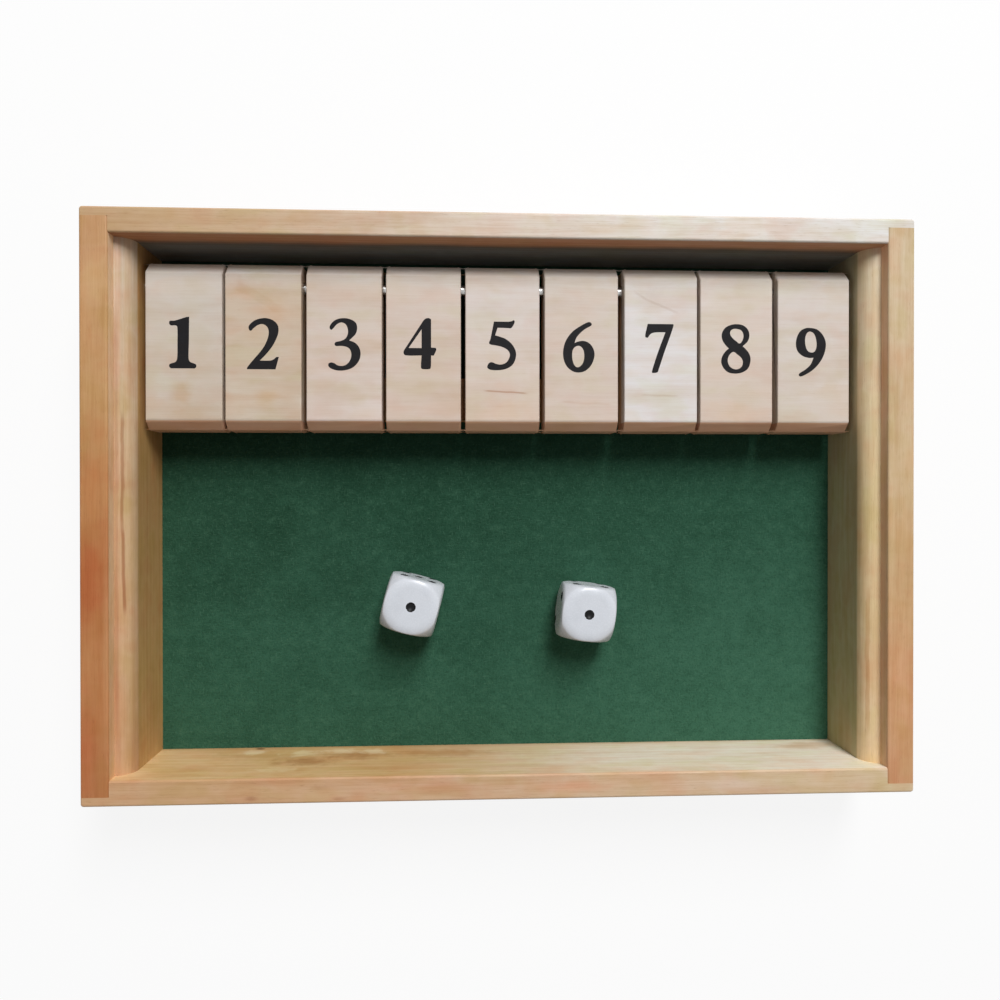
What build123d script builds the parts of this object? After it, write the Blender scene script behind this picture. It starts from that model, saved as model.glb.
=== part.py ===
"""Shut the box game: an open wooden tray with nine numbered tiles on a rod, and two dice.

Millimetres. The origin is the middle of the underside. +X points to the right, towards tile 9,
+Y to the back, where the tiles are, and +Z up.
"""

from build123d import *

import os
from math import acos, atan2, degrees, hypot

os.makedirs("parts", exist_ok=True)

# ---- Driving sizes -----------------------------------------------------------------------------

# the tray's wall: the front and back boards run full length, the side boards stand in their rabbets
case_length = 224.0
case_width = 157.4
case_height = 32.0
side_board_thickness = 7.4
long_board_thickness = 6.8
corner_lip = 2.5  # wood left outside the side board at each corner
board_arris = 0.6  # rounding of the boards' long top edges
corner_arris = 0.8  # rounding of the four upright outside corners

# the floor: a panel let into the boards, flush underneath, with felt glued on it
base_thickness = 3.0
base_seat = 3.5  # how far the panel's edge reaches into the boards
base_seat_clearance = 0.1
felt_thickness = 1.0

# the inner rails that carry the rod
rail_thickness = 4.4
rail_below_rim = 4.0
rail_round_depth = 5.0  # how far down the inner face the rounded top reaches
rail_round_radius = 5.6

# the tiles and their rod
tile_count = 9
tile_gap = 1.25  # mean gap between neighbours and at both ends of the row
tile_slides = (0.0, -0.41, -0.36, -0.47, -0.49, -0.38, 0.02, -0.3, -0.1)  # in gaps, along the rod
tile_length = 46.6
tile_thickness = 10.0
tile_back_gap = 4.3  # from the tiles' back ends to the back board
tile_front_bevel = 2.7  # bevel of the upper edge at the numeral's end
tile_back_bevel = 3.3  # bevel of the upper edge at the rod's end
tile_corner_round = 0.7  # rounding of the tile's four upright corners
tile_underside_arris = 0.8  # small bevel of both lower end edges
rod_diameter = 3.0
rod_inset = 6.2  # from a tile's back end to the rod's axis
rod_running_clearance = 0.1  # radial, in the tiles
rod_seat_clearance = 0.02  # radial, in the rails
rod_end_clearance = 0.2  # between each end of the rod and the side board
rod_end_bevel = 0.3

# the strip under the tiles' front halves
rest_height = 7.0
rest_width = 12.0
rest_setback = 4.0  # from the tiles' front ends to the strip

# the dice
die_size = 16.0
die_face_radius = 7.4  # the flat disc left on each face by the ball that rounds the corners
die_face_arris = 0.5
pip_diameter = 2.8
pip_depth = 0.6
pip_spacing = 3.9  # from the middle of a face to the next row of pips
die_1_place = (-26.4, 43.5)  # from the tray's middle along X, from the front board along Y
die_1_turn = -14.5
die_2_place = (24.1, 41.0)
die_2_turn = -7.0

# ---- Places that follow from them --------------------------------------------------------------

inner_length = case_length - 2 * side_board_thickness
inner_width = case_width - 2 * long_board_thickness
front_wall_y = -inner_width / 2
back_wall_y = inner_width / 2
felt_top = base_thickness + felt_thickness
rail_gap = inner_length - 2 * rail_thickness
rail_height = case_height - rail_below_rim - base_thickness

tile_width = (rail_gap - (tile_count + 1) * tile_gap) / tile_count
tile_back_y = back_wall_y - tile_back_gap
tile_front_y = tile_back_y - tile_length
tile_bottom = felt_top + rest_height
rod_y = tile_back_y - rod_inset
rod_z = tile_bottom + tile_thickness / 2

# ---- The tray's wall ---------------------------------------------------------------------------


# the rebate for the base panel, cut out of all four boards
with BuildPart() as base_recess:
    with BuildSketch(Plane.XY):
        Rectangle(inner_length + 2 * base_seat, inner_width + 2 * base_seat)
    extrude(amount=base_thickness)


def make_long_board(label, side):
    """A full-length board: side is -1 for the front one and 1 for the back one."""
    middle_y = side * (case_width - long_board_thickness) / 2
    rabbet_depth = long_board_thickness - corner_lip
    with BuildPart() as board:
        with BuildSketch(Plane.XY):
            with Locations((0, middle_y)):
                Rectangle(case_length, long_board_thickness)
        extrude(amount=case_height)
        with BuildSketch(Plane.XY):
            rabbet_x = (case_length - side_board_thickness) / 2
            rabbet_y = side * (case_width / 2 - corner_lip - rabbet_depth / 2)
            with Locations((-rabbet_x, rabbet_y), (rabbet_x, rabbet_y)):
                Rectangle(side_board_thickness, rabbet_depth)
        extrude(amount=case_height, mode=Mode.SUBTRACT)
        add(base_recess.part, mode=Mode.SUBTRACT)
        outer_corners = board.edges().filter_by(Axis.Z).group_by(SortBy.DISTANCE)[-1]
        fillet(outer_corners, corner_arris)
        top_face = board.faces().sort_by(Axis.Z)[-1]
        top_edges = top_face.edges().filter_by(Axis.X).sort_by(Axis.Y)
        fillet([top_edges[0], top_edges[-1]], board_arris)
    board.part.label = label
    export_step(board.part, f"parts/{label}.step")


def make_side_board(label, side):
    """A short board between the long boards' lips: side is -1 for the left, 1 for the right one."""
    middle_x = side * (case_length - side_board_thickness) / 2
    with BuildPart() as board:
        with BuildSketch(Plane.XY):
            with Locations((middle_x, 0)):
                Rectangle(side_board_thickness, case_width - 2 * corner_lip)
        extrude(amount=case_height)
        add(base_recess.part, mode=Mode.SUBTRACT)
        top_face = board.faces().sort_by(Axis.Z)[-1]
        fillet(top_face.edges().filter_by(Axis.Y), board_arris)
    board.part.label = label
    export_step(board.part, f"parts/{label}.step")


make_long_board("front_board", -1)
make_long_board("back_board", 1)
make_side_board("left_board", -1)
make_side_board("right_board", 1)

# ---- The floor ---------------------------------------------------------------------------------

with BuildPart() as base_panel:
    with BuildSketch(Plane.XY):
        panel_overhang = 2 * (base_seat - base_seat_clearance)
        Rectangle(inner_length + panel_overhang, inner_width + panel_overhang)
    extrude(amount=base_thickness)
base_panel.part.label = "base_panel"
export_step(base_panel.part, "parts/base_panel.step")

with BuildPart() as felt_sheet:
    with BuildSketch(Plane.XY.offset(base_thickness)):
        Rectangle(rail_gap, inner_width)
    extrude(amount=felt_thickness)
felt_sheet.part.label = "felt_sheet"
export_step(felt_sheet.part, "parts/felt_sheet.step")

# ---- The inner rails and the rod ---------------------------------------------------------------


def make_inner_rail(label, side):
    """A round-topped slat on the base panel against a side board, bored for the rod."""
    wall_x = side * inner_length / 2
    inner_x = side * rail_gap / 2
    rail_top = base_thickness + rail_height
    with BuildPart() as rail:
        with BuildSketch(Plane.XZ.offset(-inner_width / 2)):
            with BuildLine():
                Line((wall_x, rail_top), (wall_x, base_thickness))
                Line((wall_x, base_thickness), (inner_x, base_thickness))
                Line((inner_x, base_thickness), (inner_x, rail_top - rail_round_depth))
                arc_ends = [(wall_x, rail_top), (inner_x, rail_top - rail_round_depth)]
                RadiusArc(*arc_ends, -side * rail_round_radius)
            make_face()
        extrude(amount=inner_width)
        with BuildSketch(Plane.YZ):
            with Locations((rod_y, rod_z)):
                Circle(rod_diameter / 2 + rod_seat_clearance)
        extrude(amount=side * case_length / 2, mode=Mode.SUBTRACT)
    rail.part.label = label
    export_step(rail.part, f"parts/{label}.step")


make_inner_rail("left_inner_rail", -1)
make_inner_rail("right_inner_rail", 1)

with BuildPart() as pivot_rod:
    with BuildSketch(Plane.YZ):
        with Locations((rod_y, rod_z)):
            Circle(rod_diameter / 2)
    extrude(amount=inner_length / 2 - rod_end_clearance, both=True)
    chamfer(pivot_rod.edges().filter_by(GeomType.CIRCLE), rod_end_bevel)
pivot_rod.part.label = "pivot_rod"
export_step(pivot_rod.part, "parts/pivot_rod.step")

# ---- The tiles ---------------------------------------------------------------------------------

with BuildPart() as tile_rest:
    with BuildSketch(Plane.XY.offset(felt_top)):
        with Locations((0, tile_front_y + rest_setback + rest_width / 2)):
            Rectangle(rail_gap, rest_width)
    extrude(amount=rest_height)
tile_rest.part.label = "tile_rest"
export_step(tile_rest.part, "parts/tile_rest.step")


def make_tile(number):
    """A tile lying flat on the strip, bored for the rod near its back end."""
    slide = tile_slides[number - 1] * tile_gap
    pitch = tile_width + tile_gap
    middle_x = (number - (tile_count + 1) / 2) * pitch + slide
    with BuildPart() as tile:
        with BuildSketch(Plane.YZ.offset(middle_x)) as profile:
            with Locations(((tile_front_y + tile_back_y) / 2, rod_z)):
                Rectangle(tile_length, tile_thickness)
            # the sketch's own X axis points to the back and its Y axis up
            lower_corners, upper_corners = profile.vertices().group_by(Axis.Y)
            front_corner, back_corner = upper_corners.sort_by(Axis.X)
            chamfer(front_corner, tile_front_bevel)
            chamfer(back_corner, tile_back_bevel)
            chamfer(lower_corners, tile_underside_arris)
        extrude(amount=tile_width / 2, both=True)
        fillet(tile.edges().filter_by(Axis.Z), tile_corner_round)
        with BuildSketch(Plane.YZ.offset(middle_x)):
            with Locations((rod_y, rod_z)):
                Circle(rod_diameter / 2 + rod_running_clearance)
        extrude(amount=tile_width / 2, both=True, mode=Mode.SUBTRACT)
    tile.part.label = f"tile_{number}"
    export_step(tile.part, f"parts/tile_{number}.step")


for number in range(1, tile_count + 1):
    make_tile(number)

# how far a tile turns from flat until its numbered face leans on the back board's inner top edge
lean_y = back_wall_y - rod_y
lean_z = case_height - rod_z
lean_angle = degrees(acos(tile_thickness / 2 / hypot(lean_y, lean_z)) + atan2(lean_y, lean_z))
print(f"a tile leans on the back board at {lean_angle:.1f} degrees")

# ---- The dice ----------------------------------------------------------------------------------

ball_radius = hypot(die_size / 2, die_face_radius)
pip_ball_radius = ((pip_diameter / 2) ** 2 + pip_depth**2) / (2 * pip_depth)
pip_ball_height = die_size / 2 - pip_depth + pip_ball_radius

diagonal = [(-1, -1), (1, 1)]
other_diagonal = [(-1, 1), (1, -1)]
pip_patterns = {
    1: [(0, 0)],
    2: diagonal,
    3: diagonal + [(0, 0)],
    4: diagonal + other_diagonal,
    5: diagonal + other_diagonal + [(0, 0)],
    6: diagonal + other_diagonal + [(-1, 0), (1, 0)],
}


# the turn that takes the top face to each other face
face_turns = {
    "top": (0, 0, 0),
    "bottom": (180, 0, 0),
    "front": (90, 0, 0),
    "back": (-90, 0, 0),
    "right": (0, 90, 0),
    "left": (0, -90, 0),
}


def pip_places(top, front, right):
    """Places of the balls that sink the pips. Opposite faces of a die add up to seven."""
    counts = {"top": top, "front": front, "right": right}
    for face, opposite in (("top", "bottom"), ("front", "back"), ("right", "left")):
        counts[opposite] = 7 - counts[face]
    places = []
    for face, count in counts.items():
        face_turn = Location((0, 0, 0), face_turns[face])
        for u, v in pip_patterns[count]:
            places.append(face_turn * Location((u * pip_spacing, v * pip_spacing, pip_ball_height)))
    return places


def make_die(label, place, turn, top, front, right):
    """A die on the felt, turned about the upright: a ball with six flats and sunk pips."""
    centre = (place[0], front_wall_y + place[1], felt_top + die_size / 2)
    with BuildPart(Plane(origin=centre).rotated((0, 0, turn))) as die:
        Box(die_size, die_size, die_size)
        Sphere(ball_radius, mode=Mode.INTERSECT)
        fillet(die.edges().filter_by(GeomType.CIRCLE), die_face_arris)
        with Locations(*pip_places(top, front, right)):
            Sphere(pip_ball_radius, mode=Mode.SUBTRACT)
    die.part.label = label
    export_step(die.part, f"parts/{label}.step")


make_die("die_1", die_1_place, die_1_turn, top=1, front=2, right=3)
make_die("die_2", die_2_place, die_2_turn, top=1, front=3, right=5)
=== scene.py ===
from math import hypot, pi, radians, sqrt

import bmesh
import bpy
from mathutils import Euler, Matrix, Vector
from mathutils.geometry import tessellate_polygon


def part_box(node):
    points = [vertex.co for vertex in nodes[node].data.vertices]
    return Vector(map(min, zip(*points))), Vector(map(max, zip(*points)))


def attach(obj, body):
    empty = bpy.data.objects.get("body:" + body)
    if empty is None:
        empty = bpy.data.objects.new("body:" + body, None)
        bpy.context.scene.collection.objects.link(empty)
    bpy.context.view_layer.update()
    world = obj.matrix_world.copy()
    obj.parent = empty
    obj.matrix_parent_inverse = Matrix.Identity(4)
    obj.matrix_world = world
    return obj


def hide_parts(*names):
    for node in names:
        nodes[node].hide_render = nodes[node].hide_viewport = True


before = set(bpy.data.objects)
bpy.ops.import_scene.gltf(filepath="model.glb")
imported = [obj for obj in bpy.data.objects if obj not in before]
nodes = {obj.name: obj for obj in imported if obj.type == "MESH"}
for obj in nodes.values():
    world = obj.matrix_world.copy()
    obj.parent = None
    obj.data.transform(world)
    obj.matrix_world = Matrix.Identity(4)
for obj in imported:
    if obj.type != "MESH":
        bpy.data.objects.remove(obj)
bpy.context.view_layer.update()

# Lengths in the materials and in the tables below are in millimetres, and colours are display
# colours from 0 to 255. +X points to tile 9, +Y to the back, where the tiles are, and +Z up, as in
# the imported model.
MM = 0.001


def box_mm(node):
    """A node's lowest and highest corners in millimetres."""
    low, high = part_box(node)
    return low / MM, high / MM


def dress(node, material):
    """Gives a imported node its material."""
    nodes[node].data.materials.clear()
    nodes[node].data.materials.append(material)


# ---- Shader helpers ------------------------------------------------------------------------------


def colour(red, green, blue):
    """A display colour, 0 to 255, as the linear colour that a socket takes."""
    shares = [c / 255 for c in (red, green, blue)]
    return [((c + 0.055) / 1.055) ** 2.4 if c > 0.04045 else c / 12.92 for c in shares] + [1.0]


class Value:
    """An output that holds a number, with the arithmetic that a number has."""

    def __init__(self, shader, socket):
        self.shader, self.socket = shader, socket

    def __add__(self, other):
        return self.shader.math("ADD", self, other)

    def __sub__(self, other):
        return self.shader.math("SUBTRACT", self, other)

    def __mul__(self, other):
        return self.shader.math("MULTIPLY", self, other)

    def __truediv__(self, other):
        return self.shader.math("DIVIDE", self, other)

    __radd__, __rmul__ = __add__, __mul__


class Shader:
    """One material's node tree. Places are in millimetres in the shared frame."""

    def __init__(self, name):
        self.material = bpy.data.materials.new(name)
        self.material.use_nodes = True
        self.tree = self.material.node_tree
        self.tree.nodes.clear()
        spot = self.node("TexCoord").outputs["Object"]
        scaled = self.node("VectorMath", {0: spot, "Scale": 1 / MM}, operation="SCALE")
        parts = self.node("SeparateXYZ", {0: scaled.outputs[0]})
        self.x, self.y, self.z = [Value(self, output) for output in parts.outputs]

    def node(self, kind, inputs=None, **settings):
        """A new node. Its inputs are numbers, colours, Values or sockets, by index or name."""
        made = self.tree.nodes.new("ShaderNode" + kind)
        for setting, value in settings.items():
            setattr(made, setting, value)
        for key, value in (inputs or {}).items():
            if isinstance(value, Value):
                value = value.socket
            if isinstance(value, bpy.types.NodeSocket):
                self.tree.links.new(value, made.inputs[key])
            else:
                made.inputs[key].default_value = value
        return made

    def math(self, operation, *values):
        made = self.node("Math", dict(enumerate(values)), operation=operation)
        return Value(self, made.outputs[0])

    def noise(self, x, y, z, detail=2, roughness=0.5):
        """Noise of about one lump per unit of x, y and z, from 0 to 1 and mostly near 0.5."""
        place = self.node("CombineXYZ", {0: x, 1: y, 2: z}).outputs[0]
        inputs = {"Vector": place, "Scale": 1.0, "Detail": detail, "Roughness": roughness}
        return Value(self, self.node("TexNoise", inputs).outputs[0])

    def step(self, value, low, high, bottom=0.0, top=1.0):
        """A smooth step from bottom at low to top at high."""
        if low > high:
            low, high, bottom, top = high, low, top, bottom
        inputs = {0: value, 1: low, 2: high, 3: bottom, 4: top}
        made = self.node("MapRange", inputs, interpolation_type="SMOOTHSTEP")
        return Value(self, made.outputs[0])

    def band(self, value, middle, half_width, soft):
        """1 within half_width of the middle, and 0 from soft further out."""
        distance = self.math("ABSOLUTE", value - middle)
        return self.step(distance, half_width + soft, half_width)

    def mix(self, factor, a, b, blend="MIX"):
        inputs = {0: factor, 6: a, 7: b}
        made = self.node("Mix", inputs, data_type="RGBA", blend_type=blend)
        return made.outputs[2]

    def tint(self, factor, base, tint):
        """The base colour multiplied by a tint, as far as the factor says."""
        return self.mix(factor, base, tint, "MULTIPLY")

    def tones(self, value, stops):
        """A colour that runs through the (place, display colour) stops."""
        first, last = stops[0][0], stops[-1][0]
        ramp = self.node("ValToRGB", {0: (value - first) / (last - first)})
        elements = ramp.color_ramp.elements
        while len(elements) < len(stops):
            elements.new(0.5)
        for element, (place, shade) in zip(elements, stops):
            element.position = (place - first) / (last - first)
            element.color = colour(*shade)
        return ramp.outputs[0]

    def finish(self, base, roughness, height, relief, **settings):
        """Ends the material. Height is a bump map whose full range is relief millimetres deep."""
        bump = self.node("Bump", {"Height": height, "Distance": relief * MM})
        inputs = {"Base Color": base, "Roughness": roughness, "Normal": bump.outputs[0]}
        inputs.update({name.replace("_", " "): value for name, value in settings.items()})
        surface = self.node("BsdfPrincipled", inputs)
        self.node("OutputMaterial", {"Surface": surface.outputs[0]})
        return self.material


# ---- Wood ----------------------------------------------------------------------------------------

WOOD_SPECULAR = 0.3
RING_WANDER = 5.0  # how far the rings stray from true circles
RING_TINT = (228, 206, 180)
STREAK_TINT = (228, 206, 182)
CLOUD_TINT = (234, 214, 192)
WARM_TINT = (255, 240, 228)
COOL_TINT = (244, 248, 224)
FIBRE_TINT = (228, 214, 196)
PORE_TINT = (186, 158, 130)
PINK_BLOTCH = (250, 234, 228)
YELLOW_BLOTCH = (244, 240, 222)


class Wood(Shader):
    """Solid timber. Its growth rings and fibres run right through, so they meet at every edge."""

    def __init__(self, name, grain, seed, pith=(34.0, -60.0), ring=2.1):
        super().__init__(name)
        self.along, self.across = (self.x, self.y) if grain == "X" else (self.y, self.x)
        a, b, c = self.along, self.across + 31.7 * seed, self.z + 17.3 * seed
        drift = self.noise(a / 70, b / 15, c / 15)
        lean = self.noise(a / 160, b / 40, c / 40, detail=1)
        shift = (drift - 0.5) * RING_WANDER + (lean - 0.5) * RING_WANDER * 3
        to_pith = [self.across - pith[0] + shift, self.z - pith[1] + shift]
        radius = self.math("SQRT", to_pith[0] * to_pith[0] + to_pith[1] * to_pith[1])
        phase = self.math("FRACT", radius / ring)
        # a ring darkens slowly towards its late wood and ends there
        self.rings = self.step(phase, 0.1, 0.84) - self.step(phase, 0.88, 1.0)
        self.fibres = self.noise(a / 12, b / 0.3, c / 0.3, detail=4, roughness=0.62)
        self.streaks = self.noise(a / 60, b / 2.0, c / 2.0, detail=3, roughness=0.55)
        self.clouds = self.noise(a / 26, b / 8, c / 8, detail=3, roughness=0.55)
        self.warmth = self.noise(a / 18 + 50, b / 7, c / 7)
        self.pores = self.step(self.noise(a / 2.2, b / 0.16, c / 0.16, detail=1), 0.64, 0.76)

    def grained(self, base, rings, fibres, streaks, clouds, pores):
        """The base colour with the timber's figure on it, each part as strong as its number."""
        layers = [
            (self.rings * rings, RING_TINT),
            (self.step(self.streaks, 0.46, 0.68) * streaks, STREAK_TINT),
            (self.step(self.clouds, 0.44, 0.7) * clouds, CLOUD_TINT),
            (self.step(self.warmth, 0.5, 0.66) * clouds, WARM_TINT),
            (self.step(self.warmth, 0.5, 0.34) * clouds, COOL_TINT),
            (self.step(self.fibres, 0.38, 0.7) * fibres, FIBRE_TINT),
            (self.pores * pores, PORE_TINT),
        ]
        for share, shade in layers:
            base = self.tint(share, base, colour(*shade))
        return base

    def mottled(self, base, strength):
        """Soft pinkish and yellowish blotches, with no direction."""
        lumps = self.noise(self.x / 9 + 90, self.y / 7, self.z / 7)
        pink, yellow = self.step(lumps, 0.46, 0.72), self.step(lumps, 0.54, 0.28)
        base = self.tint(pink * strength, base, colour(*PINK_BLOTCH))
        return self.tint(yellow * strength, base, colour(*YELLOW_BLOTCH))

    def stain(self, base, middle, size, shade, strength, ragged, soft, upright=False):
        """A stain with a middle and a half size, seen from above, or from the front if upright."""
        second = self.z if upright else self.y
        x, y = (self.x - middle[0]) / size[0], (second - middle[1]) / size[1]
        rag = (self.noise(self.x / 3, self.y / 3, self.z / 3, detail=3) - 0.5) * ragged
        mask = self.step(self.math("SQRT", x * x + y * y) + rag, 1.1, 1.1 - soft)
        return self.mix(mask * strength, base, colour(*shade))

    def line(self, base, start, end, width, shade, strength, wobble, soft=0.25):
        """A thin line from start to end, seen from above."""
        start, end = Vector(start), Vector(end)
        run = (end - start).normalized()
        middle, half = (start + end) / 2, (end - start).length / 2
        x, y = self.x - middle.x, self.y - middle.y
        along, off = x * run.x + y * run.y, x * run.y - y * run.x
        bend = self.noise(along / 9 + start.x, 0.0, start.y) - 0.5
        off = off + bend * wobble * 2
        mask = self.band(along, 0.0, half * 0.7, half * 0.3) * self.band(off, 0.0, width / 2, soft)
        return self.tint(mask * strength, base, colour(*shade))

    def planed(self, base, rough=0.5, relief=0.03):
        """Ends the material as planed and thinly lacquered."""
        height = self.fibres * 0.6 + self.rings * 0.4 - self.pores * 0.5
        gloss = self.step(self.fibres + self.rings * 0.2, 0.2, 1.0, rough - 0.08, rough + 0.12)
        return self.finish(base, gloss, height, relief, Specular_IOR_Level=WOOD_SPECULAR)


FACE_SKIN = (-0.35, -0.1)  # the inner face's colour reaches into the wood between these depths
RIM_EDGE = (31.75, 31.3)  # and it starts between these heights
PAINTED_SHADE_TOP = 24.5  # the back board's inner face is painted grey below this height: painted shade for the deep shadow behind the tiles
DUST_AND_SHADE_EDGE = (6.5, 3.6)  # dust and painted shade darken the inner faces between these heights, where a board meets the felt
DUST_AND_SHADE_TINT = (176, 146, 104)
TONE_SPREAD = 40  # how far the clouds move the places of the tones along a board


def board_material(name, grain, seed, pith, tones, inner, inner_tones, low_tones=None, stains=(),
                   face_stains=()):
    """A tray board. inner is its inner face's axis, place and the side that it looks to."""
    wood = Wood(name, grain, seed, pith)
    spread = (wood.clouds - 0.5) * TONE_SPREAD
    base = wood.tones(wood.along + spread, tones)
    base = wood.mottled(base, 0.6)
    for stain in stains:
        base = wood.stain(base, *stain)
    axis, place, looks = inner
    depth = (getattr(wood, axis) - place) * looks
    facing = wood.step(depth, *FACE_SKIN) * wood.step(wood.z, *RIM_EDGE)
    # the inner faces' own tones are partly painted light and shade, lighter or darker by how the
    # lamp lights each face
    face = wood.mottled(wood.tones(wood.along + spread, inner_tones), 0.5)
    # painted shade: low on the back board's inner face, grey tones stand in for the deep shadow
    # behind the tiles
    if low_tones:
        ragged = wood.z + (wood.clouds - 0.5) * 4
        low = wood.step(ragged, PAINTED_SHADE_TOP + 2.5, PAINTED_SHADE_TOP - 2.5)
        face = wood.mix(low, face, wood.tones(wood.z, low_tones))
    for stain in face_stains:
        face = wood.stain(face, *stain, upright=True)
    base = wood.mix(facing, base, face)
    base = wood.grained(base, rings=0.12, fibres=0.35, streaks=0.22, clouds=0.45, pores=0.25)
    # dust, and painted shade in the corner where each inner face meets the felt
    dust_and_shade = facing * wood.step(wood.z, *DUST_AND_SHADE_EDGE) * 0.5
    return wood.planed(wood.tint(dust_and_shade, base, colour(*DUST_AND_SHADE_TINT)))


INNER_X = 104.6
INNER_Y = 71.9

# tones and inner_tones: places along the board and shades. They were matched region by region, so
# along a board they partly even out how the lamp's light falls off, and each inner face is lighter
# or darker than the top partly as painted light and shade for how the lamp lights it. The back
# board's
# low tones: heights and shades of grey painted as shade low on its inner face. stains on the top
# and
# face_stains on the inner face: middle, half size, shade, strength, raggedness and softness
BOARDS = {
    "left_board": dict(
        grain="Y", seed=1, pith=(-86.0, -38.0),
        tones=[(-78, (185, 124, 80)), (-46, (189, 132, 84)), (-20, (180, 112, 66)),
               (4, (190, 139, 90)), (32, (198, 156, 108)), (74, (199, 156, 116))],
        inner=("x", -INNER_X, 1), inner_tones=[(-78, (250, 208, 164)), (78, (252, 220, 184))],
        stains=[
            ((-109.5, -20.0), (4.2, 12.0), (178, 94, 50), 0.6, 0.7, 1.0),
            ((-110.4, -62.0), (3.4, 18.0), (188, 104, 66), 0.45, 0.7, 1.0),
            ((-109.0, 4.0), (3.0, 12.0), (190, 122, 70), 0.4, 0.7, 1.0),
            ((-104.8, -40.0), (1.9, 36.0), (206, 160, 116), 0.35, 0.5, 1.0),
            ((-108.0, 60.0), (5.0, 8.0), (212, 176, 128), 0.4, 0.9, 1.0),
        ],
    ),
    "right_board": dict(
        grain="Y", seed=2, pith=(142.0, -30.0),
        tones=[(-78, (209, 164, 126)), (-52, (211, 161, 121)), (-20, (203, 171, 129)),
               (14, (209, 185, 150)), (74, (207, 188, 159))],
        inner=("x", INNER_X, -1), inner_tones=[(-78, (248, 206, 170)), (78, (246, 208, 174))],
    ),
    "back_board": dict(
        grain="X", seed=3, pith=(96.0, -44.0),
        # the tones run to near white towards the right end: painted sheen of the lamp's reflection
        # on the lacquer, over the wood's own tone
        tones=[(-112, (195, 163, 126)), (-70, (200, 173, 142)), (-10, (213, 199, 185)),
               (60, (225, 224, 222)), (112, (225, 226, 227))],
        inner=("y", INNER_Y, -1), inner_tones=[(-112, (176, 126, 92)), (112, (190, 146, 116))],
        low_tones=[(6, (214, 214, 212)), (15, (158, 158, 154)), (23, (98, 92, 84))],
    ),
    "front_board": dict(
        grain="X", seed=4, pith=(-58.0, -40.0),
        tones=[(-112, (207, 169, 131)), (-60, (209, 171, 135)), (0, (214, 184, 154)),
               (60, (217, 191, 161)), (112, (219, 197, 167))],
        inner=("y", -INNER_Y, 1), inner_tones=[(-112, (240, 209, 161)), (-30, (224, 187, 134)),
                                              (50, (255, 244, 224)), (112, (255, 247, 234))],
        stains=[
            ((-68.0, -77.2), (2.4, 0.8), (150, 98, 66), 0.4, 0.9, 1.0),
            ((-45.0, -77.6), (2.4, 0.7), (156, 104, 72), 0.35, 0.9, 1.0),
            ((-50.0, -74.6), (3.0, 0.8), (176, 124, 90), 0.35, 0.9, 1.0),
            ((16.0, -75.4), (16.0, 2.2), (220, 160, 128), 0.5, 0.7, 1.0),
            ((-20.0, -75.0), (20.0, 2.0), (212, 156, 124), 0.4, 0.7, 1.0),
            ((62.0, -75.6), (24.0, 2.8), (224, 204, 188), 0.5, 0.7, 1.0),
        ],
        face_stains=[
            ((-66.0, 12.0), (20.0, 9.0), (204, 160, 104), 0.45, 1.0, 1.0),
            ((-56.0, 18.0), (11.0, 4.6), (176, 126, 72), 0.65, 1.5, 1.0),
            ((-42.0, 13.0), (12.0, 4.6), (176, 128, 74), 0.55, 1.5, 1.0),
            ((-18.0, 12.0), (20.0, 5.0), (192, 146, 92), 0.55, 1.3, 1.0),
            ((-63.0, 24.5), (7.0, 2.4), (252, 230, 188), 0.55, 1.7, 0.8),
            ((-72.5, 9.0), (4.0, 3.2), (252, 234, 196), 0.65, 1.7, 0.8),
            ((-58.0, 10.5), (6.0, 3.6), (252, 234, 196), 0.65, 1.9, 0.8),
            ((-47.0, 8.5), (6.0, 3.0), (252, 232, 192), 0.65, 1.9, 0.8),
            ((-37.5, 9.5), (4.4, 3.4), (252, 232, 192), 0.65, 1.8, 0.8),
            ((-71.5, 5.2), (1.7, 0.9), (92, 60, 36), 0.8, 0.8, 0.6),
            ((44.0, 17.0), (48.0, 12.0), (255, 250, 238), 0.6, 0.8, 1.0),
            ((90.0, 10.0), (12.0, 5.0), (214, 190, 148), 0.4, 1.0, 1.0),
        ],
    ),
}
for node, look in BOARDS.items():
    dress(node, board_material(node + "_wood", **look))

RAIL_PITH = (-30.0, -90.0)
RAIL_FACE_TOP = (23.6, 22.4)  # the upright face's colour starts between these heights


def rail_material(name, seed, tones, face_tones, strips=(), lines=()):
    """An inner rail: a rounded top with strips of other shades, and a duller upright face."""
    wood = Wood(name, "Y", seed, RAIL_PITH)
    spread = (wood.clouds - 0.5) * TONE_SPREAD
    base = wood.tones(wood.along + spread, tones)
    for middle, half_width, shade, strength in strips:
        strip = wood.band(wood.x + (wood.clouds - 0.5) * 1.5, middle, half_width, 0.7)
        base = wood.mix(strip * strength, base, colour(*shade))
    face = wood.step(wood.z, *RAIL_FACE_TOP)
    base = wood.mix(face, base, wood.tones(wood.along + spread, face_tones))
    base = wood.mottled(base, 0.6)
    base = wood.grained(base, rings=0.12, fibres=0.35, streaks=0.2, clouds=0.4, pores=0.25)
    for line in lines:
        base = wood.line(base, *line)
    return wood.planed(base, rough=0.52)


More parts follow.
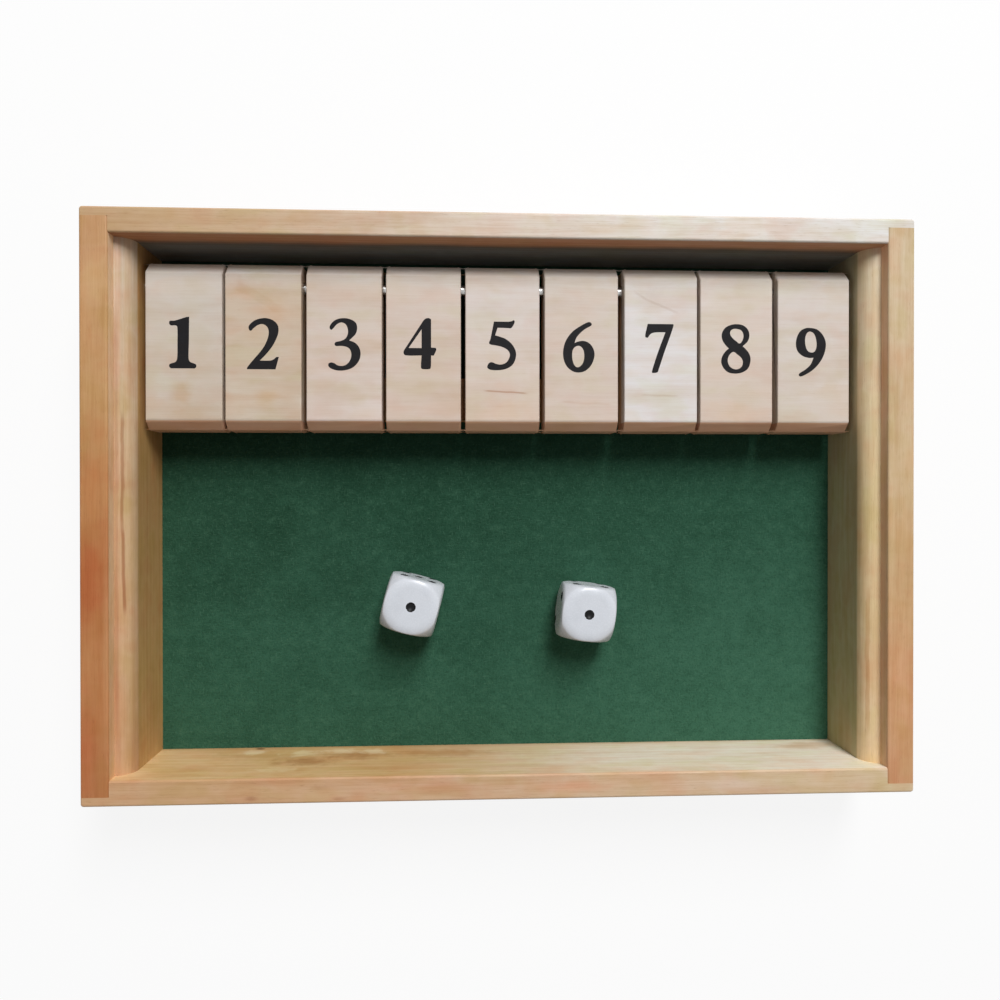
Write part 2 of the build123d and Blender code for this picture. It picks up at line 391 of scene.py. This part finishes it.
# strips: middle, half width, shade and strength. lines: start, end, width, shade, strength, wobble
# and softness
RAILS = {
    "left_inner_rail": dict(
        seed=5,
        tones=[(-72, (207, 166, 130)), (0, (210, 180, 143)), (72, (203, 189, 171))],
        face_tones=[(-72, (216, 175, 118)), (72, (182, 145, 96))],
        strips=[(-103.9, 0.4, (200, 152, 122), 0.35), (-101.6, 0.4, (214, 180, 138), 0.3)],
        lines=[
            ((-102.7, 27.0), (-102.8, -8.0), 0.3, (194, 152, 118), 0.6, 0.4, 0.4),
            ((-102.8, -4.0), (-102.3, -30.0), 0.3, (186, 130, 94), 0.6, 0.3, 0.4),
            ((-104.2, 60.0), (-104.2, -66.0), 0.5, (214, 184, 156), 0.45, 0.2, 0.5),
        ],
    ),
    "right_inner_rail": dict(
        seed=6,
        # lighter than the left rail's tones: partly painted light, making up for the shade on the
        # rounded top that faces away from the lamp
        tones=[(-72, (248, 220, 180)), (0, (234, 212, 166)), (72, (234, 222, 196))],
        face_tones=[(-72, (202, 188, 146)), (72, (186, 180, 150))],
        lines=[((101.8, -20.0), (101.6, -66.0), 0.5, (226, 200, 176), 0.5, 0.6)],
    ),
}
for node, look in RAILS.items():
    dress(node, rail_material(node + "_wood", **look))


def plain_wood_material(name, grain, seed, tones, rough):
    """Timber that stays out of sight, with all of its figure."""
    wood = Wood(name, grain, seed)
    base = wood.tones(wood.along, tones)
    base = wood.grained(base, rings=0.6, fibres=0.7, streaks=0.7, clouds=0.6, pores=0.8)
    return wood.planed(base, rough, relief=0.06)


PLAIN_WOODS = {
    "base_panel": ("X", 7, [(-112, (196, 164, 124)), (112, (206, 176, 138))], 0.66),
    "tile_rest": ("X", 8, [(-100, (176, 138, 98)), (100, (184, 148, 108))], 0.6),
}
for node, look in PLAIN_WOODS.items():
    dress(node, plain_wood_material(node + "_wood", *look))

# ---- Tiles ---------------------------------------------------------------------------------------

TILE_FRONT_BEVEL = 2.7
TILE_BACK_BEVEL = 3.3
TILE_TOP = 21.0
TILE_RING = 3.2
TILE_TONE_SPREAD = 26
PAINTED_LIGHT_RUN = 8.0  # how far in front of the back bevel the face is painted lighter
# painted light: colours that lighten the back of each tile's face and its back bevel, where the
# back board's shadow falls
PAINTED_LIGHT_WOOD = (248, 240, 230)
PAINTED_BEVEL_LIGHT = (254, 249, 243)
BARE_WOOD = (208, 180, 148)
FRONT_END_WOOD = (197, 156, 128)

# each tile's face at its back end and at its front end, and how strong its grain shows
TILE_LOOKS = {
    1: ((206, 201, 195), (200, 185, 168), 0.3),
    2: ((199, 179, 159), (206, 193, 177), 0.4),
    3: ((203, 188, 175), (218, 205, 198), 0.3),
    4: ((207, 195, 186), (211, 193, 180), 0.3),
    5: ((212, 206, 204), (213, 195, 180), 0.3),
    6: ((205, 196, 187), (212, 195, 184), 0.3),
    7: ((215, 211, 210), (221, 218, 218), 0.35),
    8: ((214, 205, 199), (209, 194, 181), 0.25),
    9: ((210, 203, 199), (210, 199, 189), 0.3),
}

# soft patches and thin marks that single tiles have, with the same values as the boards' stains and
# the rails' lines
TILE_STAINS = {
    1: [((-89.5, 30.7), (4.2, 5.0), (190, 160, 128), 0.55, 1.0, 1.0),
        ((-94.0, 33.0), (4.0, 6.0), (206, 200, 194), 0.5, 1.0, 1.0)],
    2: [((-64.0, 55.0), (5.0, 7.0), (204, 178, 148), 0.4, 1.0, 1.0),
        ((-72.0, 60.0), (6.0, 4.0), (206, 170, 140), 0.4, 1.2, 1.0),
        ((-66.0, 30.0), (4.0, 4.0), (204, 176, 142), 0.4, 1.0, 1.0)],
    5: [((0.0, 27.0), (9.0, 4.0), (214, 186, 162), 0.45, 1.0, 1.0)],
    7: [((42.0, 57.0), (5.0, 5.0), (208, 200, 196), 0.5, 1.2, 1.0)],
    8: [((66.0, 26.5), (10.0, 4.0), (212, 184, 160), 0.4, 1.0, 1.0)],
}
TILE_LINES = {
    2: [((-75.0, 61.0), (-61.0, 54.5), 1.6, (240, 224, 206), 0.25, 2.2, 0.8)],
    5: [((-6.4, 32.4), (6.9, 31.8), 0.2, (214, 186, 168), 0.75, 0.5)],
    6: [((15.0, 29.4), (31.0, 28.6), 0.3, (240, 226, 214), 0.35, 0.6)],
    7: [((36.0, 60.8), (50.0, 54.0), 0.4, (236, 228, 222), 0.5, 1.2),
        ((38.0, 31.5), (50.0, 31.0), 0.3, (238, 228, 222), 0.5, 0.6)],
}


def tile_material(number, back_shade, front_shade, figure):
    """A tile: a pale face with painted light at its back, and bare wood on the sides and below."""
    low, high = box_mm(f"tile_{number}")
    pith = (20.0 + 9 * number, -30.0)
    wood = Wood(f"tile_{number}_wood", "X", 10 + number, pith, TILE_RING)
    spread = (wood.clouds - 0.5) * TILE_TONE_SPREAD
    face = wood.tones(wood.y + spread, [(low.y, front_shade), (high.y, back_shade)])
    back_edge = high.y - TILE_BACK_BEVEL
    # painted light: the face lightens towards its back end and its back bevel turns near white,
    # standing in for lamp light that the back board's shadow takes away
    pale = wood.step(wood.y, back_edge - PAINTED_LIGHT_RUN, back_edge + 1.0) * 0.6
    face = wood.mix(pale, face, colour(*PAINTED_LIGHT_WOOD))
    painted_bevel_light = wood.step(wood.y, back_edge - 0.3, back_edge + 0.2) * 0.8
    face = wood.mix(painted_bevel_light, face, colour(*PAINTED_BEVEL_LIGHT))
    for stain in TILE_STAINS.get(number, ()):
        face = wood.stain(face, *stain)
    for line in TILE_LINES.get(number, ()):
        face = wood.line(face, *line)
    bevel_foot = TILE_TOP - TILE_BACK_BEVEL
    below = wood.step(wood.z, bevel_foot, bevel_foot - 3.0)
    base = wood.mix(below, face, colour(*BARE_WOOD))
    front_edge = low.y + TILE_FRONT_BEVEL
    front = wood.step(wood.y, front_edge + 0.15, front_edge - 0.15)
    front = front * wood.step(wood.z, low.z + 0.3, low.z + 1.5)
    base = wood.mix(front, base, colour(*FRONT_END_WOOD))
    base = wood.mottled(base, 0.35)
    base = wood.grained(
        base, rings=figure * 0.2, fibres=0.15, streaks=figure * 0.4, clouds=figure, pores=0.1)
    return wood.planed(base, rough=0.46, relief=0.015)


for number, look in TILE_LOOKS.items():
    dress(f"tile_{number}", tile_material(number, *look))

# ---- Softened edges ------------------------------------------------------------------------------

EDGE_ANGLE = 35.0
EDGE_WIDTH = 0.45
EDGE_SEGMENTS = 3
WELD_DISTANCE = 0.001


def soften_edges(piece):
    """Rounds a tile's edges as sandpaper does, once its faces are joined at their edges."""
    weld = piece.modifiers.new("weld", "WELD")
    weld.merge_threshold = WELD_DISTANCE * MM
    bevel = piece.modifiers.new("softened", "BEVEL")
    bevel.width, bevel.segments = EDGE_WIDTH * MM, EDGE_SEGMENTS
    bevel.limit_method, bevel.angle_limit = "ANGLE", radians(EDGE_ANGLE)
    bevel.use_clamp_overlap = False


for number in TILE_LOOKS:
    soften_edges(nodes[f"tile_{number}"])

# ---- Numerals ------------------------------------------------------------------------------------

# Outlines on a design grid: x from the glyph's left, y from its foot. The curve runs smoothly
# through the points and turns sharply at those marked C. An outline after the first is a hole.
C = "corner"
GLYPHS = {
    1: [
        [(4, 304), (32, 306), (78, 320), (108, 330), (126, 332, C), (124, 168), (122, 66),
         (130, 44), (150, 34), (168, 26), (170, 10), (160, 0, C), (10, 0, C), (0, 10), (2, 26),
         (20, 34), (40, 42), (50, 66), (52, 168), (52, 252), (48, 272), (34, 276), (10, 276),
         (0, 288)],
    ],
    2: [
        [(14, 282), (48, 314), (88, 328), (128, 330), (168, 316), (196, 288), (202, 250),
         (192, 208), (164, 152), (124, 100), (82, 56, C), (150, 57), (172, 66), (188, 80, C),
         (204, 80, C), (182, 0, C), (0, 0, C), (2, 12), (42, 62), (92, 122), (118, 164),
         (136, 212), (138, 254), (124, 280), (98, 292), (68, 284), (42, 264), (24, 248), (12, 260)],
    ],
    3: [
        [(10, 288), (28, 314), (56, 332), (96, 340), (140, 334), (176, 312), (186, 280),
         (178, 242), (156, 216), (134, 196, C), (170, 182), (198, 152), (208, 108), (196, 62),
         (160, 22), (116, 4), (64, 0), (24, 10), (4, 24), (0, 42), (16, 52), (36, 48), (60, 34),
         (90, 30), (120, 42), (142, 72), (148, 110), (136, 142), (110, 156), (80, 160), (48, 160),
         (40, 172), (48, 184), (80, 192), (110, 208), (126, 240), (124, 276), (110, 302),
         (84, 312), (56, 300), (34, 276), (20, 264), (10, 272)],
    ],
    4: [
        [(136, 324), (160, 332), (178, 324, C), (178, 140, C), (208, 138, C), (212, 126),
         (196, 88, C), (178, 88, C), (176, 10), (168, 0), (120, 0), (112, 10), (116, 88, C),
         (12, 88), (0, 100), (0, 116), (12, 136), (60, 210), (108, 284)],
        [(116, 258, C), (116, 136, C), (32, 136, C)],
    ],
    5: [
        [(44, 318, C), (138, 318), (162, 322), (174, 328), (180, 318), (172, 296), (156, 276),
         (138, 276), (68, 278, C), (52, 228, C), (80, 220), (122, 204), (164, 168), (188, 120),
         (184, 70), (160, 30), (120, 8), (72, 0), (24, 2), (4, 12), (0, 24), (12, 46), (30, 52),
         (56, 42), (90, 37), (124, 50), (144, 80), (148, 108), (132, 134), (96, 153), (50, 163),
         (22, 168), (12, 178), (20, 200)],
    ],
    6: [
        [(188, 324), (176, 332), (156, 328), (112, 304), (64, 270), (22, 216), (2, 156), (2, 96),
         (22, 44), (60, 10), (102, 0), (148, 12), (188, 52), (208, 112), (200, 158), (172, 194),
         (136, 208), (102, 204), (76, 194, C), (88, 228), (114, 260), (148, 288), (174, 302),
         (188, 312)],
        [(100, 176), (128, 160), (140, 120), (134, 70), (112, 40), (88, 36), (68, 62), (60, 110),
         (68, 156)],
    ],
    7: [
        [(16, 324, C), (188, 324, C), (188, 312), (170, 256), (128, 140), (90, 26), (80, 5),
         (48, 0, C), (44, 8), (60, 64), (86, 142), (116, 222), (134, 270, C), (64, 268), (36, 258),
         (16, 232, C), (0, 236, C), (0, 256)],
    ],
    8: [
        [(100, 328), (148, 320), (180, 292), (190, 252), (178, 214), (144, 182, C), (166, 162),
         (190, 130), (198, 88), (182, 36), (142, 8), (96, 0), (48, 8), (16, 36), (0, 76), (8, 116),
         (30, 148), (52, 166, C), (28, 190), (8, 222), (4, 262), (24, 300), (58, 320)],
        [(108, 296), (136, 286), (150, 256), (144, 222), (124, 200), (102, 214), (76, 236),
         (60, 262), (64, 284), (82, 296)],
        [(82, 144), (108, 128), (136, 104), (146, 76), (136, 44), (104, 28), (72, 36), (52, 56),
         (44, 92), (56, 124)],
    ],
    9: [
        [(98, 324), (144, 314), (184, 276), (204, 220), (192, 150), (158, 88), (110, 40), (64, 12),
         (32, 0), (20, 8), (24, 20), (64, 46), (100, 80), (120, 126, C), (92, 124), (48, 136),
         (12, 168), (0, 212), (8, 264), (32, 304), (66, 322)],
        [(98, 300), (124, 284), (138, 244), (140, 200), (128, 168), (104, 160), (78, 174),
         (64, 216), (64, 260), (76, 290)],
    ],
}
GLYPH_UNIT = 0.0428
# where each numeral's left edge and foot are: x from its tile's middle, y in the frame
GLYPH_PLACES = {
    1: (-3.9, 38.0), 2: (-4.45, 37.9), 3: (-4.35, 37.7), 4: (-5.5, 38.3), 5: (-4.3, 38.1),
    6: (-5.2, 37.6), 7: (-4.45, 37.6), 8: (-4.4, 37.6), 9: (-5.15, 36.9),
}
INK_PROUD = 0.03
INK_SUNK = 0.02
CURVE_STEPS = 6


def smooth_outline(points):
    """The closed outline through the points, as many short lines. Corners stay sharp."""
    places = [Vector(p[:2]) for p in points]
    sharp = [len(p) > 2 for p in points]
    count = len(points)
    outline = []
    for i in range(count):
        start, end = places[i], places[(i + 1) % count]
        before = start if sharp[i] else places[i - 1]
        after = end if sharp[(i + 1) % count] else places[(i + 2) % count]
        span = (end - start).length
        # tangents scaled to this span, so that near and far neighbours bend it alike
        leave = (end - before) * (span / max((end - before).length, span))
        arrive = (after - start) * (span / max((after - start).length, span))
        for k in range(CURVE_STEPS):
            t = k / CURVE_STEPS
            outline.append(
                start * (2 * t**3 - 3 * t**2 + 1)
                + leave * (t**3 - 2 * t**2 + t)
                + end * (3 * t**2 - 2 * t**3)
                + arrive * (t**3 - t**2)
            )
    return outline


def numeral(number, ink):
    """A printed numeral: a thin skin of ink on the tile's face."""
    low, high = box_mm(f"tile_{number}")
    from_middle, foot = GLYPH_PLACES[number]
    left = (low.x + high.x) / 2 + from_middle
    loops = []
    for points in GLYPHS[number]:
        outline = smooth_outline(points)
        places = [(left + p.x * GLYPH_UNIT, foot + p.y * GLYPH_UNIT, 0) for p in outline]
        loops.append([Vector(place) for place in places])
    flat = [p for loop in loops for p in loop]
    count = len(flat)
    vertices = [(p.x * MM, p.y * MM, (TILE_TOP + INK_PROUD) * MM) for p in flat]
    vertices += [(p.x * MM, p.y * MM, (TILE_TOP - INK_SUNK) * MM) for p in flat]
    faces = [tuple(reversed(t)) for t in tessellate_polygon(loops)]
    start = 0
    for loop in loops:
        for i in range(len(loop)):
            here, there = start + i, start + (i + 1) % len(loop)
            faces.append((here, there, there + count, here + count))
        start += len(loop)
    mesh = bpy.data.meshes.new(f"numeral_{number}")
    mesh.from_pydata(vertices, [], faces)
    mesh.validate()
    mesh.materials.append(ink)
    piece = bpy.data.objects.new(f"numeral_{number}", mesh)
    bpy.context.scene.collection.objects.link(piece)
    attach(piece, f"tile_{number}_body")


def ink_material():
    """Black printing ink, a little thin where the wood's grain lifts it."""
    ink = Shader("printing_ink")
    grain = ink.noise(ink.x / 4, ink.y / 0.3, ink.z, detail=3)
    patches = ink.noise(ink.x / 2, ink.y / 2, ink.z)
    base = ink.mix(ink.step(grain, 0.5, 0.8) * 0.5, colour(25, 24, 26), colour(44, 40, 38))
    base = ink.mix(ink.step(patches, 0.45, 0.7) * 0.3, base, colour(33, 34, 38))
    rough = ink.step(grain, 0.3, 0.8, 0.5, 0.68)
    return ink.finish(base, rough, grain, 0.02, Specular_IOR_Level=0.1)


ink = ink_material()
for number in GLYPHS:
    numeral(number, ink)

# ---- Felt ----------------------------------------------------------------------------------------


def felt_material():
    """Pressed green felt: fibres matted in every direction, pale flecks and pressed patches."""
    felt = Shader("felt_green")
    x, y, z = felt.x, felt.y, felt.z
    twist = felt.noise(x / 1.3, y / 1.3, z) - 0.5
    fibres_a = felt.noise(x / 1.5 + twist * 1.8, y / 0.3 + twist * 1.8, z)
    fibres_b = felt.noise(x / 0.3 - twist * 1.8 + 40, y / 1.5 + twist * 1.8, z)
    fibres = felt.math("MAXIMUM", fibres_a, fibres_b)
    mat = felt.noise(x / 0.7, y / 0.7, z, detail=3, roughness=0.7)
    tufts = felt.noise(x / 3.2, y / 2.6, z, detail=3, roughness=0.6)
    patches = felt.noise(x / 16, y / 16, z, detail=3, roughness=0.6)
    place = x + (patches - 0.5) * 70
    # painted light and shade: the felt is darker towards the back and the left and lighter towards
    # the front and the right, for how the lamp's light falls across it, over its own colour
    back = felt.tones(place, [(-100, (40, 74, 56)), (0, (41, 76, 58)), (100, (49, 88, 69))])
    front = felt.tones(place, [(-100, (52, 92, 72)), (0, (52, 92, 73)), (100, (63, 106, 85))])
    base = felt.mix(felt.step(y + (patches - 0.5) * 40, 8.0, -52.0), back, front)
    base = felt.tint(felt.step(patches, 0.4, 0.65) * 0.35, base, colour(206, 216, 210))
    base = felt.tint(felt.step(tufts, 0.56, 0.36) * 0.28, base, colour(192, 204, 198))
    base = felt.mix(felt.step(tufts, 0.54, 0.72) * 0.16, base, colour(78, 118, 94))
    base = felt.mix(felt.step(fibres, 0.56, 0.74) * 0.25, base, colour(92, 130, 108))
    base = felt.tint(felt.step(mat, 0.54, 0.34) * 0.36, base, colour(146, 168, 156))
    base = felt.mix(felt.step(mat, 0.66, 0.78) * 0.25, base, colour(120, 152, 130))
    return felt.finish(base, 0.95, mat * 0.5 + fibres * 0.5, 0.35, Sheen_Weight=0.1,
                       Sheen_Roughness=0.5, Specular_IOR_Level=0.0)


dress("felt_sheet", felt_material())

# ---- Rod -----------------------------------------------------------------------------------------


def rod_material():
    """Drawn steel wire: bright, with fine marks along it and a few dull spots."""
    rod = Shader("drawn_steel")
    drawn = rod.noise(rod.x / 12, rod.y / 0.12, rod.z / 0.12)
    dull = rod.noise(rod.x / 3, rod.y / 2, rod.z / 2, detail=3)
    base = rod.mix(rod.step(dull, 0.5, 0.75) * 0.5, colour(206, 206, 204), colour(150, 146, 140))
    rough = rod.step(drawn + dull * 0.3, 0.4, 0.9, 0.16, 0.38)
    return rod.finish(base, rough, drawn, 0.01, Metallic=1.0)


dress("pivot_rod", rod_material())

# ---- Dice ----------------------------------------------------------------------------------------

DIE_HALF = 8.0
DIE_BALL = 10.9  # radius of the ball that rounds the corners
DIE_BLEND = 1.3  # how softly the flats run into the ball
PIP_RADIUS = 1.4
PIP_DEPTH = 0.6
PIP_SPACING = 3.9
DIE_GRID = 72  # quads along each edge of a face
DIE_JOIN = 0.01  # points of neighbouring faces nearer than this are one

DIAGONAL = [(-1, -1), (1, 1)]
OTHER_DIAGONAL = [(-1, 1), (1, -1)]
PIP_PATTERNS = {
    1: [(0, 0)],
    2: DIAGONAL,
    3: DIAGONAL + [(0, 0)],
    4: DIAGONAL + OTHER_DIAGONAL,
    5: DIAGONAL + OTHER_DIAGONAL + [(0, 0)],
    6: DIAGONAL + OTHER_DIAGONAL + [(-1, 0), (1, 0)],
}
# the turn that takes the top face to each other face
FACE_TURNS = {
    "top": (0, "X"), "bottom": (180, "X"), "front": (90, "X"), "back": (-90, "X"),
    "right": (90, "Y"), "left": (-90, "Y"),
}
# each die's turn about the upright, and the pips on its faces
DICE = {
    "die_1": (-14.5, {"top": 1, "bottom": 6, "front": 2, "back": 5, "right": 3, "left": 4}),
    "die_2": (-7.0, {"top": 1, "bottom": 6, "front": 3, "back": 4, "right": 5, "left": 2}),
}


def die_plastic():
    """Cast white plastic, slightly cloudy, with a polished skin."""
    die = Shader("die_white")
    cloud = die.noise(die.x / 5, die.y / 5, die.z / 5)
    scuffs = die.noise(die.x / 0.5, die.y / 0.5, die.z / 0.5, detail=3, roughness=0.7)
    base = die.mix(die.step(cloud, 0.35, 0.7), colour(213, 217, 224), colour(207, 211, 218))
    rough = die.step(scuffs, 0.4, 0.8, 0.22, 0.38)
    return die.finish(base, rough, cloud, 0.04, Specular_IOR_Level=0.5, Subsurface_Weight=0.1,
                      Subsurface_Radius=(0.001, 0.001, 0.001), Subsurface_Scale=1.0)


def pip_paint():
    """Black paint in the pips, a little uneven."""
    pip = Shader("pip_black")
    brushed = pip.noise(pip.x / 0.4, pip.y / 0.4, pip.z / 0.4)
    base = pip.mix(pip.step(brushed, 0.4, 0.7), colour(5, 6, 8), colour(12, 12, 15))
    rough = pip.step(brushed, 0.3, 0.7, 0.32, 0.5)
    return pip.finish(base, rough, brushed, 0.02, Specular_IOR_Level=0.2)


def rounded(place):
    """A point of the cube's skin, drawn in where the ball cuts the cube, with a soft crossing."""
    reach = place.length
    share = max(DIE_BLEND - abs(reach - DIE_BALL), 0.0) / DIE_BLEND
    return place * ((min(reach, DIE_BALL) - share**2 * DIE_BLEND / 4) / reach)


def dent(u, v, pips):
    """A grid point, moved onto a pip's rim if that is near, and how deep it is sunk."""
    ball = (PIP_RADIUS**2 + PIP_DEPTH**2) / (2 * PIP_DEPTH)
    half_step = DIE_HALF / DIE_GRID
    for pip_u, pip_v in pips:
        du, dv = u - pip_u, v - pip_v
        away = hypot(du, dv)
        if abs(away - PIP_RADIUS) < half_step:
            return pip_u + du * PIP_RADIUS / away, pip_v + dv * PIP_RADIUS / away, 0.0
        if away < PIP_RADIUS:
            return u, v, sqrt(ball**2 - away**2) - (ball - PIP_DEPTH)
    return u, v, 0.0


def die_look(node, turn, counts, plastic, paint):
    """A cast die: a cube rounded by a ball, with pips that are sunk and painted."""
    low, high = box_mm(node)
    vertices, faces, painted = [], [], []
    for face, count in counts.items():
        angle, axis = FACE_TURNS[face]
        turned = Matrix.Rotation(radians(angle), 3, axis)
        pips = [(u * PIP_SPACING, v * PIP_SPACING) for u, v in PIP_PATTERNS[count]]
        start = len(vertices)
        spots = []
        for j in range(DIE_GRID + 1):
            for i in range(DIE_GRID + 1):
                u, v = [DIE_HALF * (2 * k / DIE_GRID - 1) for k in (i, j)]
                u, v, depth = dent(u, v, pips)
                spots.append((u, v))
                place = rounded(Vector((u, v, DIE_HALF)))
                vertices.append(turned @ (place - Vector((0, 0, depth))) * MM)
        for j in range(DIE_GRID):
            for i in range(DIE_GRID):
                corner = j * (DIE_GRID + 1) + i
                quad = (corner, corner + 1, corner + DIE_GRID + 2, corner + DIE_GRID + 1)
                faces.append([start + k for k in quad])
                u, v = [sum(spots[k][side] for k in quad) / 4 for side in (0, 1)]
                painted.append(any(hypot(u - a, v - b) < PIP_RADIUS for a, b in pips))
    mesh = bpy.data.meshes.new(node + "_look")
    mesh.from_pydata(vertices, [], faces)
    mesh.materials.append(plastic)
    mesh.materials.append(paint)
    for polygon, inked in zip(mesh.polygons, painted):
        polygon.material_index = int(inked)
    soften(mesh)
    piece = bpy.data.objects.new(node + "_look", mesh)
    piece.location = (low + high) / 2 * MM
    piece.rotation_euler = (0, 0, radians(turn))
    bpy.context.scene.collection.objects.link(piece)
    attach(piece, node + "_body")
    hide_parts(node)


def soften(mesh):
    """Joins the six faces' edges and shades the mesh smoothly, but for the pips' rims."""
    work = bmesh.new()
    work.from_mesh(mesh)
    bmesh.ops.remove_doubles(work, verts=work.verts, dist=DIE_JOIN * MM)
    for face in work.faces:
        face.smooth = True
    for edge in work.edges:
        sides = {face.material_index for face in edge.link_faces}
        edge.smooth = len(sides) == 1
    work.to_mesh(mesh)
    work.free()


plastic, paint = die_plastic(), pip_paint()
for node, (turn, counts) in DICE.items():
    die_look(node, turn, counts, plastic, paint)

# ---- Floor, light and camera ---------------------------------------------------------------------

# Sizes and places from here on are in metres.
FLOOR_SIZE = 4.0
FLOOR_DROP = 0.0002
FLOOR_GREY = 0.84
FLOOR_GLOW = 0.88  # how much of the floor, as it is seen, is plain white and not lit
ROOM_LEVEL = 0.22
LAMP_PLACE = Vector((0.259, 0.813, 1.013))
LAMP_AIM = Vector((0.0, 0.02, 0.015))
LAMP_WIDTH = 0.35
LAMP_HEIGHT = 0.7
LAMP_LEVEL = 1.03  # 1 lights a white surface that faces the lamp, at the aim, to white
CAMERA_PLACE = (-0.0133, 0.0029, 0.2585)
CAMERA_TURN = (-0.29, -2.88, -0.03)  # in degrees
FOCAL_PIXELS = 847.2
IMAGE_PIXELS = 1000
SENSOR_WIDTH = 36.0  # in millimetres, as Blender has it
CLIP_NEAR, CLIP_FAR = 0.01, 20.0


def seen_directly(tree):
    """1 for rays from the camera, a mirror or glass, and 0 for the light on the object."""
    path = tree.nodes.new("ShaderNodeLightPath")
    total = path.outputs["Is Camera Ray"]
    for ray in ("Is Glossy Ray", "Is Transmission Ray"):
        larger = tree.nodes.new("ShaderNodeMath")
        larger.operation = "MAXIMUM"
        tree.links.new(total, larger.inputs[0])
        tree.links.new(path.outputs[ray], larger.inputs[1])
        total = larger.outputs[0]
    return total


def make_floor():
    """A pale floor that takes the soft shadows and is nearly white where it is seen."""
    half = FLOOR_SIZE / 2
    mesh = bpy.data.meshes.new("floor")
    corners = [(-half, -half, -FLOOR_DROP), (half, -half, -FLOOR_DROP),
               (half, half, -FLOOR_DROP), (-half, half, -FLOOR_DROP)]
    mesh.from_pydata(corners, [], [(0, 1, 2, 3)])
    material = bpy.data.materials.new("floor_white")
    material.use_nodes = True
    tree = material.node_tree
    tree.nodes.clear()
    matt = tree.nodes.new("ShaderNodeBsdfDiffuse")
    matt.inputs["Color"].default_value = (FLOOR_GREY, FLOOR_GREY, FLOOR_GREY, 1)
    glow = tree.nodes.new("ShaderNodeEmission")
    glow.inputs["Color"].default_value = (1, 1, 1, 1)
    share = tree.nodes.new("ShaderNodeMath")
    share.operation = "MULTIPLY"
    tree.links.new(seen_directly(tree), share.inputs[0])
    share.inputs[1].default_value = FLOOR_GLOW
    both = tree.nodes.new("ShaderNodeMixShader")
    tree.links.new(share.outputs[0], both.inputs[0])
    tree.links.new(matt.outputs[0], both.inputs[1])
    tree.links.new(glow.outputs[0], both.inputs[2])
    out = tree.nodes.new("ShaderNodeOutputMaterial")
    tree.links.new(both.outputs[0], out.inputs["Surface"])
    mesh.materials.append(material)
    floor = bpy.data.objects.new("floor", mesh)
    bpy.context.scene.collection.objects.link(floor)


def make_room():
    """A white room that is seen at full brightness and lights the object only a little."""
    world = bpy.data.worlds.new("room")
    bpy.context.scene.world = world
    world.use_nodes = True
    tree = world.node_tree
    tree.nodes.clear()
    level = tree.nodes.new("ShaderNodeMapRange")
    tree.links.new(seen_directly(tree), level.inputs[0])
    level.inputs[3].default_value = ROOM_LEVEL
    level.inputs[4].default_value = 1.0
    background = tree.nodes.new("ShaderNodeBackground")
    background.inputs["Color"].default_value = (1, 1, 1, 1)
    tree.links.new(level.outputs[0], background.inputs["Strength"])
    out = tree.nodes.new("ShaderNodeOutputWorld")
    tree.links.new(background.outputs[0], out.inputs["Surface"])


def make_lamp():
    """A tall soft lamp behind the object, on the right."""
    light = bpy.data.lights.new("softbox", "AREA")
    light.shape = "RECTANGLE"
    light.size, light.size_y = LAMP_WIDTH, LAMP_HEIGHT
    distance = (LAMP_PLACE - LAMP_AIM).length
    light.energy = pi**2 * distance**2 * LAMP_LEVEL
    lamp = bpy.data.objects.new("softbox", light)
    lamp.location = LAMP_PLACE
    lamp.rotation_euler = (LAMP_AIM - LAMP_PLACE).to_track_quat("-Z", "Y").to_euler()
    bpy.context.scene.collection.objects.link(lamp)


def make_camera():
    """The photograph's camera: close above the tray, and a little to its left."""
    lens = bpy.data.cameras.new("camera")
    lens.sensor_width = SENSOR_WIDTH
    lens.lens = lens.sensor_width * FOCAL_PIXELS / IMAGE_PIXELS
    lens.clip_start, lens.clip_end = CLIP_NEAR, CLIP_FAR
    camera = bpy.data.objects.new("camera", lens)
    camera.location = CAMERA_PLACE
    camera.rotation_euler = Euler([radians(angle) for angle in CAMERA_TURN])
    bpy.context.scene.collection.objects.link(camera)
    bpy.context.scene.camera = camera


make_floor()
make_room()
make_lamp()
make_camera()
bpy.context.scene.view_settings.view_transform = "Standard"
